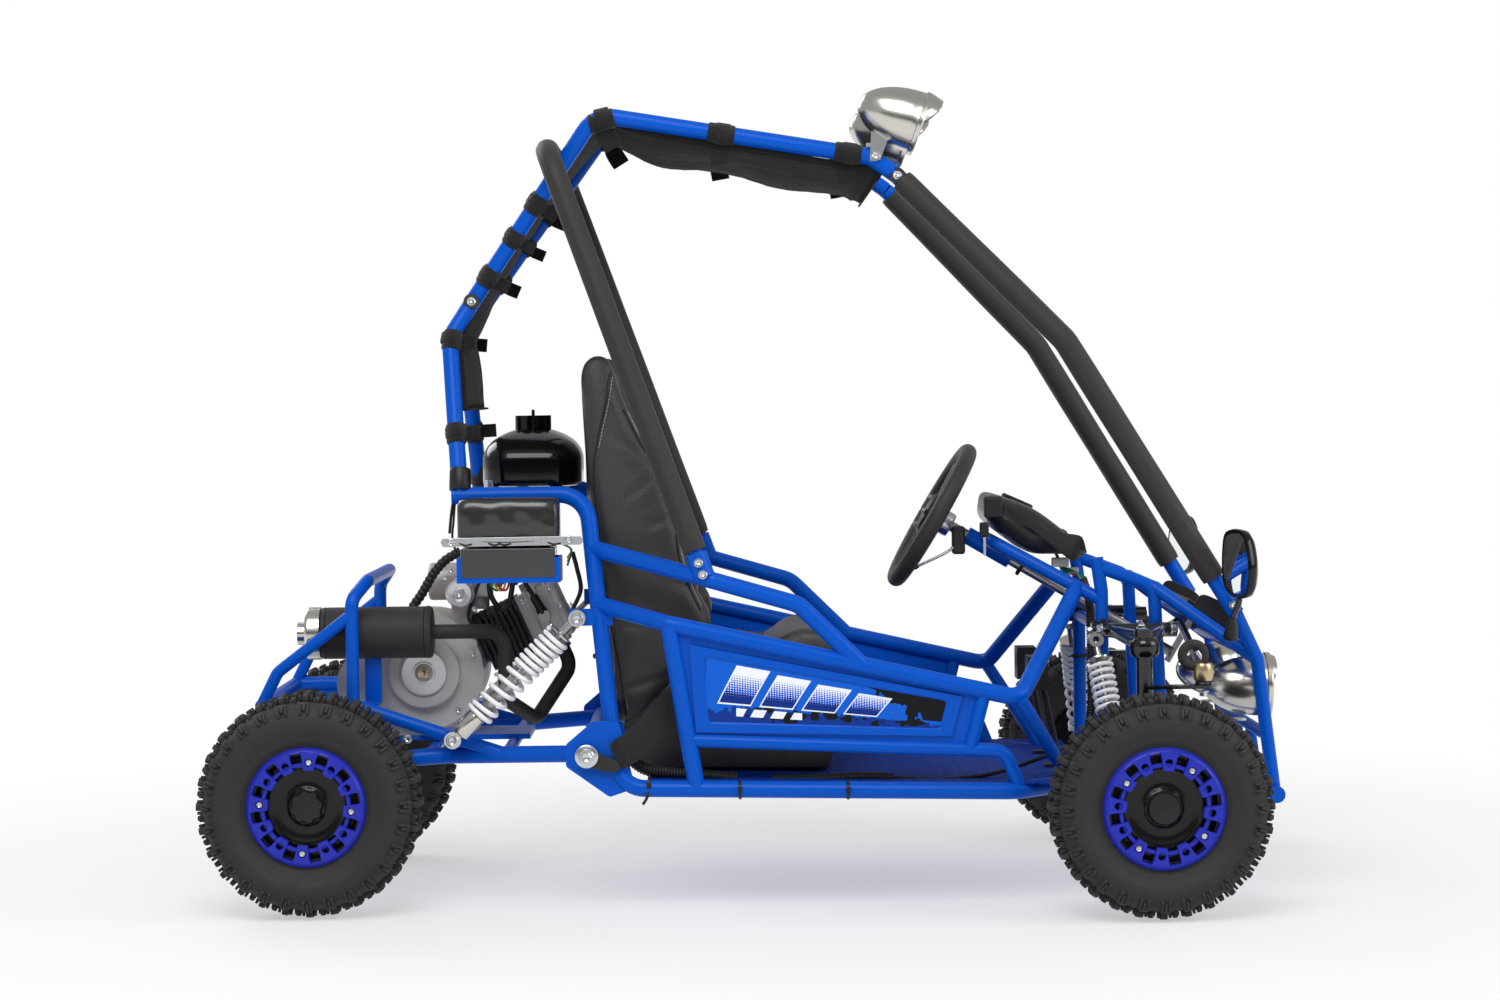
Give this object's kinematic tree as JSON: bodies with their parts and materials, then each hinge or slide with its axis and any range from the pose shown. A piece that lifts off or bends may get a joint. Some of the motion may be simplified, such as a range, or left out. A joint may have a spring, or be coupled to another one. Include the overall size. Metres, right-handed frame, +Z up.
{
  "type": "dune buggy",
  "caption": "Small single seat dune buggy: bent tube frame and roll cage, open rear engine on a swing arm, live rear axle and steered front wheels.",
  "frame": {"origin": "on the ground under the middle of the overall length and width", "axes": "+X forward, +Y to the driver's left, +Z up"},
  "size_m": [1.6021, 0.992, 1.2104],
  "materials": {
    "frame_paint": "gloss blue paint",
    "foam": "black foam sleeve",
    "vinyl": "black vinyl",
    "webbing": "black webbing",
    "black_plastic": "black plastic",
    "black_steel": "black paint",
    "blue_plastic": "blue moulded plastic",
    "tyre": "black tyre rubber",
    "engine_metal": "cast alloy",
    "engine_black": "black cast fins",
    "bright_steel": "bright steel",
    "chrome": "chrome plate",
    "shock_white": "white springs"
  },
  "bodies": {
    "root": {"battery": "black_plastic", "battery_cover": "vinyl", "battery_tray": "black_plastic", "bumper": "frame_paint", "cage_foam": "foam", "cage_tubes": "frame_paint", "cage_uprights": "frame_paint", "canopy": "webbing", "carburettor": "engine_metal", "chain": "bright_steel", "cross_tubes": "frame_paint", "dash_cover": "black_plastic", "dash_hoop": "frame_paint", "engine_case": "engine_metal", "engine_cylinder": "engine_black", "engine_head": "engine_metal", "exhaust_pipe": "black_steel", "floor_pan": "frame_paint", "frame_brackets": "frame_paint", "front_columns": "frame_paint", "fuel_cap": "black_plastic", "fuel_tank": "black_plastic", "hood_plate": "black_plastic", "lamps": "chrome", "lower_rails": "frame_paint", "mirrors": "black_plastic", "muffler": "black_steel", "muffler_cap": "chrome", "panel_posts": "frame_paint", "panel_tubes": "frame_paint", "pedals": "black_plastic", "seat_back": "vinyl", "seat_base": "vinyl", "seat_belts": "webbing", "shocks": "shock_white", "side_panels": "frame_paint", "side_tubes": "frame_paint", "suspension_arms": "black_steel", "swing_arm": "frame_paint", "tail_frame": "frame_paint"},
    "steering": {"steering_wheel": "black_plastic", "steering_shaft": "bright_steel"},
    "knuckle_right": {"knuckle_right": "black_steel"},
    "knuckle_left": {"knuckle_left": "black_steel"},
    "tie_rod_right": {"tie_rod_right": "black_steel"},
    "tie_rod_left": {"tie_rod_left": "black_steel"},
    "front_wheel_right": {"front_tyre_right": "tyre", "front_rim_right": "black_steel", "front_ring_right": "blue_plastic"},
    "front_wheel_left": {"front_tyre_left": "tyre", "front_rim_left": "black_steel", "front_ring_left": "blue_plastic"},
    "rear_wheels": {"rear_tyres": "tyre", "rear_rims": "black_steel", "rear_rings": "blue_plastic", "rear_axle": "bright_steel", "axle_sprocket": "bright_steel", "brake_disc": "bright_steel"}
  },
  "joints": [
    {"name": "steering_turn", "type": "hinge", "parent": "root", "child": "steering", "pos_m": [0.2965, 0, 0.5635], "axis": [0.8616, 0, -0.5075], "range_deg": [-50, 50]},
    {"name": "knuckle_right_turn", "type": "hinge", "parent": "root", "child": "knuckle_right", "pos_m": [0.583, -0.336, 0.1615], "axis": [0, 0, 1], "range_deg": [-25, 25]},
    {"name": "tie_rod_right_turn", "type": "hinge", "parent": "knuckle_right", "child": "tie_rod_right", "pos_m": [0.668, -0.336, 0.342], "axis": [0, 0, 1], "range_deg": [-25, 25]},
    {"name": "front_wheel_right_spin", "type": "hinge", "parent": "knuckle_right", "child": "front_wheel_right", "pos_m": [0.591, -0.44, 0.1615], "axis": [0, 1, 0], "continuous": true},
    {"name": "knuckle_left_turn", "type": "hinge", "parent": "root", "child": "knuckle_left", "pos_m": [0.583, 0.336, 0.1615], "axis": [0, 0, 1], "range_deg": [-25, 25]},
    {"name": "tie_rod_left_turn", "type": "hinge", "parent": "knuckle_left", "child": "tie_rod_left", "pos_m": [0.668, 0.336, 0.342], "axis": [0, 0, 1], "range_deg": [-25, 25]},
    {"name": "front_wheel_left_spin", "type": "hinge", "parent": "knuckle_left", "child": "front_wheel_left", "pos_m": [0.591, 0.44, 0.1615], "axis": [0, 1, 0], "continuous": true},
    {"name": "rear_wheels_spin", "type": "hinge", "parent": "root", "child": "rear_wheels", "pos_m": [-0.636, 0, 0.165], "axis": [0, 1, 0], "continuous": true}
  ],
  "couplings": [
    {"joint": "knuckle_right_turn", "follows": "steering_turn", "ratio": -0.5},
    {"joint": "tie_rod_right_turn", "follows": "steering_turn", "ratio": 0.5},
    {"joint": "knuckle_left_turn", "follows": "steering_turn", "ratio": -0.5},
    {"joint": "tie_rod_left_turn", "follows": "steering_turn", "ratio": 0.5}
  ]
}
